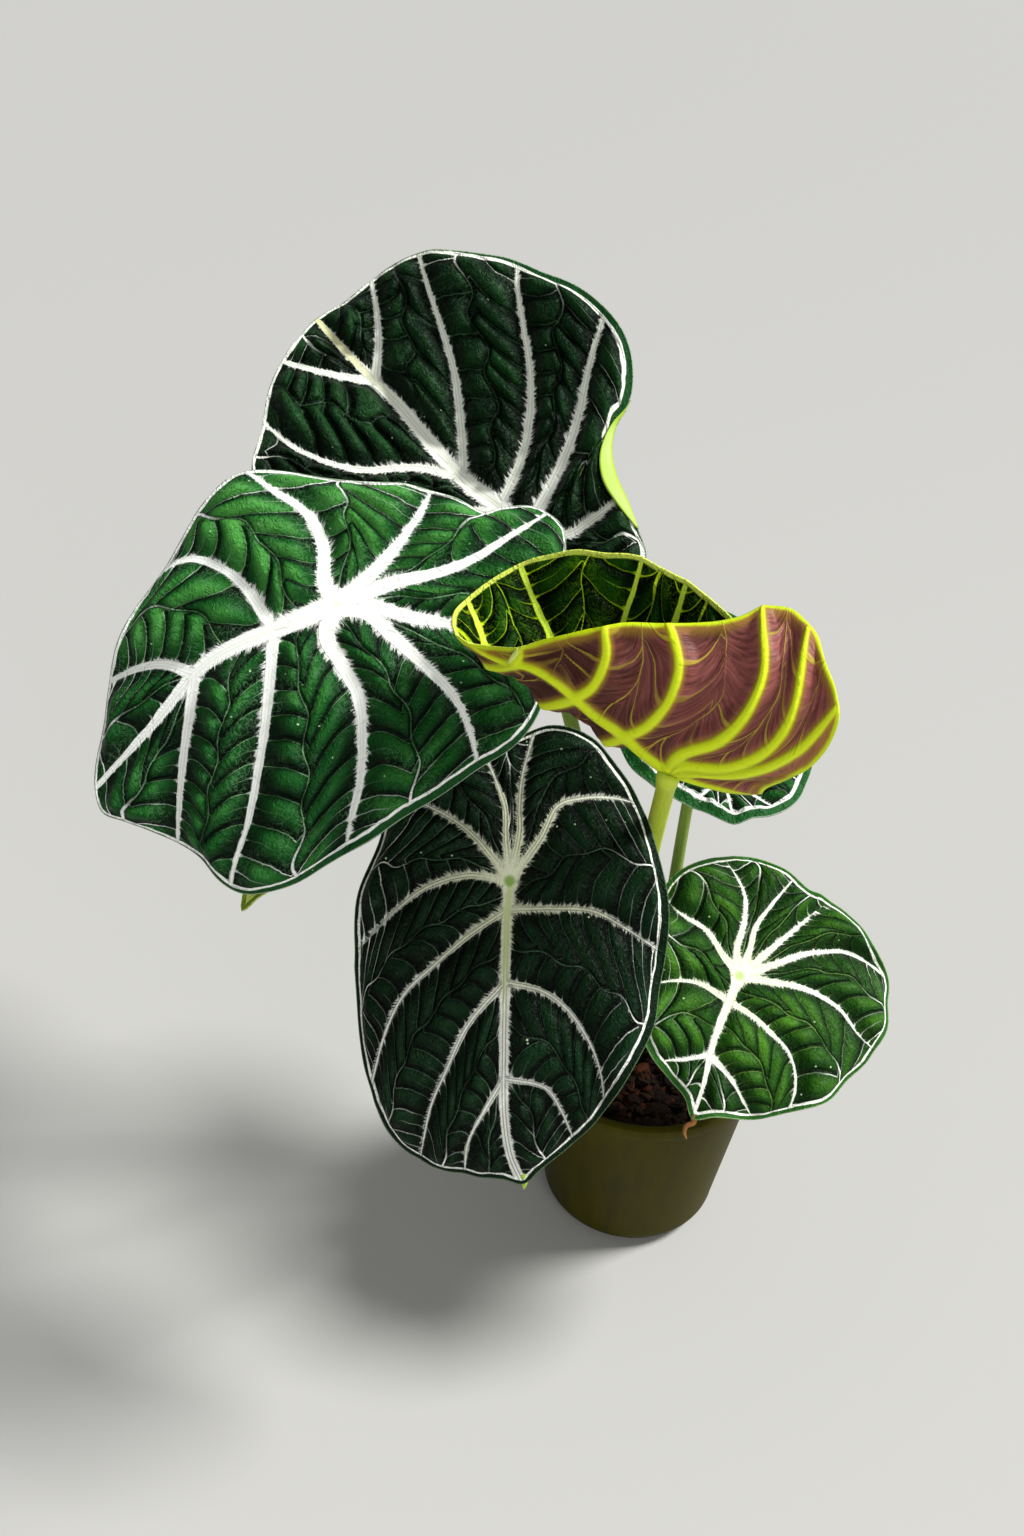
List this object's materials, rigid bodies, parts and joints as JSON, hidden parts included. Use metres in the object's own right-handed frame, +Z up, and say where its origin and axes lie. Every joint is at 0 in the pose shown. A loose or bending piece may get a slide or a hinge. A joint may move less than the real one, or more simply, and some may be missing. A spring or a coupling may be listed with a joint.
{
  "type": "potted ninja alocasia",
  "caption": "Potted dwarf aroid with dark quilted shield leaves and pale ribs on slim stalks, in a round tapered nursery pot with drainage.",
  "frame": {"origin": "centre of the pot's base", "axes": "+Z up, -Y towards the viewer of the picture, so the front leaf hangs on the -Y side"},
  "size_m": [0.2431, 0.2211, 0.3157],
  "materials": {
    "pot": "matt olive-green moulded plastic",
    "soil": "dark bark and peat mix, loose grains read as one filled body",
    "blade": "thick velvety leaf, dark green with white ribs",
    "new_blade": "young thick leaf, purple-brown below, lime ribs",
    "young_blade": "young leaf, olive with a lime edge",
    "stalk": "smooth green leaf stalk",
    "new_stalk": "smooth lime leaf stalk"
  },
  "bodies": {
    "root": {"pot": "pot", "soil": "soil", "back_blade": "blade", "back_stalk": "stalk", "left_blade": "blade", "left_stalk": "stalk", "new_blade": "new_blade", "new_stalk": "new_stalk", "front_blade": "blade", "front_stalk": "stalk", "right_blade": "blade", "right_stalk": "stalk", "middle_blade": "blade", "middle_stalk": "stalk", "young_blade": "young_blade", "young_stalk": "stalk"}
  },
  "joints": []
}
